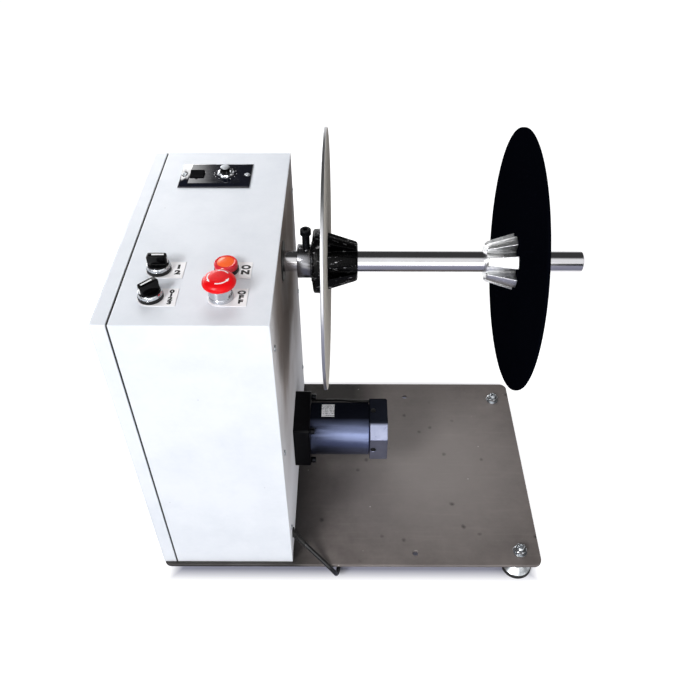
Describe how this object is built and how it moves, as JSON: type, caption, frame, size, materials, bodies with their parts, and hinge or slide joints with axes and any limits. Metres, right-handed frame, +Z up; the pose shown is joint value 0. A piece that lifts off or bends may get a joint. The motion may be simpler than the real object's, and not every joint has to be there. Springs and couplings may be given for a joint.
{
  "type": "coil rewinding machine",
  "caption": "Bench coil rewinder: a gear motor in a sheet-steel cabinet drives a spindle with two sliding disc reels on ribbed cones, with controls on top and levelling feet below.",
  "frame": {"origin": "on the floor, under the middle of the machine's box without its mains lead", "axes": "+X along the spindle to its free end, +Y away from the operator, +Z up"},
  "size_m": [0.6066, 0.405, 0.6725],
  "materials": {
    "plate_steel": "mill-finished, stained",
    "zinc_steel": "zinc plated",
    "foot_rubber": "moulded, with a plated top",
    "casing_paint": "light grey powder coat",
    "frame_steel": "oiled",
    "black_bolt": "black oxide",
    "bright_steel": "ground and polished",
    "bearing_iron": "cast, painted",
    "pulley_aluminium": "turned",
    "belt_rubber": "moulded",
    "gear_steel": "cut and hardened",
    "bush_bronze": "sintered",
    "case_black": "cast, black painted",
    "motor_paint": "slate blue enamel",
    "cap_aluminium": "cast, slate blue enamel",
    "black_plastic": "moulded",
    "black_rubber": "moulded",
    "hub_steel": "turned",
    "cast_black": "cast, black painted",
    "disc_steel": "rolled and turned",
    "disc_black": "black enamel",
    "cast_aluminium": "cast, bare",
    "controller_plastic": "moulded, glossy",
    "knob_metal": "turned",
    "bezel_chrome": "bright plated",
    "lamp_red": "clear red moulding",
    "stop_red": "moulded",
    "label_metal": "brushed sheet"
  },
  "bodies": {
    "machine": {"base_plate": "plate_steel", "foot_studs": "zinc_steel", "foot_nuts": "zinc_steel", "panel_screws": "zinc_steel", "ring_nuts": "zinc_steel", "foot_pads": "foot_rubber", "main_casing": "casing_paint", "cover_flange": "casing_paint", "side_plate": "casing_paint", "left_cover": "casing_paint", "base_angle": "frame_steel", "inner_plate": "frame_steel", "spacer_bars": "frame_steel", "frame_bolts": "black_bolt", "bearing_housings": "bearing_iron", "drive_belt": "belt_rubber", "motor_bushes": "bush_bronze", "gear_case": "case_black", "motor_body": "motor_paint", "motor_end_cap": "cap_aluminium", "brush_caps": "black_plastic", "lamp_base": "black_plastic", "power_plug": "black_plastic", "motor_lead": "black_rubber", "lead_grommet": "black_rubber", "cord_boot": "black_rubber", "power_cord": "black_rubber", "cord_coil": "black_rubber", "controller_body": "controller_plastic", "selector_bezels": "bezel_chrome", "stop_collar": "bezel_chrome", "lamp_lens": "lamp_red", "label_plates": "label_metal"},
    "spindle": {"spindle_shaft": "bright_steel", "bearing_rings": "bright_steel", "spindle_pulley": "pulley_aluminium"},
    "motor_output": {"output_shaft": "bright_steel", "output_gear": "gear_steel", "motor_pulley": "pulley_aluminium"},
    "rotor": {"armature": "gear_steel"},
    "inner_reel": {"inner_hub": "hub_steel", "inner_backing": "cast_black", "inner_disc": "disc_steel", "inner_cone": "cast_black", "inner_screws": "black_bolt"},
    "inner_tip": {"inner_clamp_tip": "bush_bronze"},
    "inner_screw": {"inner_clamp_screw": "black_bolt"},
    "outer_reel": {"outer_hub": "hub_steel", "outer_backing": "cast_black", "outer_disc": "disc_black", "outer_cone": "cast_aluminium", "outer_screws": "black_bolt"},
    "outer_tip": {"outer_clamp_tip": "bush_bronze"},
    "outer_screw": {"outer_clamp_screw": "black_bolt"},
    "rear_selector": {"rear_selector": "black_plastic"},
    "front_selector": {"front_selector": "black_plastic"},
    "stop_plunger": {"stop_stem": "black_plastic"},
    "stop_mushroom": {"stop_head": "stop_red"},
    "speed_knob": {"speed_knob": "knob_metal"},
    "rocker": {"controller_rocker": "controller_plastic"}
  },
  "joints": [
    {"name": "spindle_spin", "type": "hinge", "parent": "machine", "child": "spindle", "pos_m": [-0.09675, -0.01, 0.5], "axis": [1, 0, 0], "continuous": true},
    {"name": "motor_output_spin", "type": "hinge", "parent": "machine", "child": "motor_output", "pos_m": [-0.09675, -0.01, 0.173], "axis": [1, 0, 0], "continuous": true},
    {"name": "armature_spin", "type": "hinge", "parent": "machine", "child": "rotor", "pos_m": [-0.09675, -0.01, 0.155], "axis": [1, 0, 0], "continuous": true},
    {"name": "inner_reel_slide", "type": "slide", "parent": "spindle", "child": "inner_reel", "axis": [1, 0, 0], "range_m": [-0.015, 0.02]},
    {"name": "outer_reel_slide", "type": "slide", "parent": "spindle", "child": "outer_reel", "axis": [1, 0, 0], "range_m": [-0.14, 0.045]},
    {"name": "inner_screw_feed", "type": "slide", "parent": "inner_reel", "child": "inner_tip", "axis": [0, 0, 1], "range_m": [0, 0.00145]},
    {"name": "inner_screw_turn", "type": "hinge", "parent": "inner_tip", "child": "inner_screw", "pos_m": [-0.06475, -0.01, 0.5], "axis": [0, 0, 1], "range_deg": [0, 360]},
    {"name": "outer_screw_feed", "type": "slide", "parent": "outer_reel", "child": "outer_tip", "axis": [0, 0, 1], "range_m": [0, 0.00145]},
    {"name": "outer_screw_turn", "type": "hinge", "parent": "outer_tip", "child": "outer_screw", "pos_m": [0.24025, -0.01, 0.5], "axis": [0, 0, 1], "range_deg": [0, 360]},
    {"name": "rear_selector_turn", "type": "hinge", "parent": "machine", "child": "rear_selector", "pos_m": [-0.23875, -0.091, 0.547], "axis": [0, 0, 1], "range_deg": [-45, 45]},
    {"name": "front_selector_turn", "type": "hinge", "parent": "machine", "child": "front_selector", "pos_m": [-0.23875, -0.143, 0.547], "axis": [0, 0, 1], "range_deg": [-90, 0]},
    {"name": "stop_press", "type": "slide", "parent": "machine", "child": "stop_plunger", "axis": [0, 0, -1], "range_m": [0, 0.005]},
    {"name": "stop_twist", "type": "hinge", "parent": "stop_plunger", "child": "stop_mushroom", "pos_m": [-0.15675, -0.143, 0.547], "axis": [0, 0, 1], "range_deg": [-45, 0], "stiffness_Nm_per_rad": 0.02},
    {"name": "speed_knob_turn", "type": "hinge", "parent": "machine", "child": "speed_knob", "pos_m": [-0.18475, 0.1285, 0.5505], "axis": [0, 0, 1], "range_deg": [-280, 0]},
    {"name": "rocker_tilt", "type": "hinge", "parent": "machine", "child": "rocker", "pos_m": [-0.22475, 0.126, 0.5475], "axis": [1, 0, 0], "range_deg": [-24, 0]}
  ],
  "couplings": [
    {"joint": "motor_output_spin", "follows": "spindle_spin", "ratio": 2},
    {"joint": "armature_spin", "follows": "spindle_spin", "ratio": -8},
    {"joint": "inner_screw_feed", "follows": "inner_screw_turn", "m_per_rad": 0.00019894},
    {"joint": "outer_screw_feed", "follows": "outer_screw_turn", "m_per_rad": 0.00019894}
  ]
}
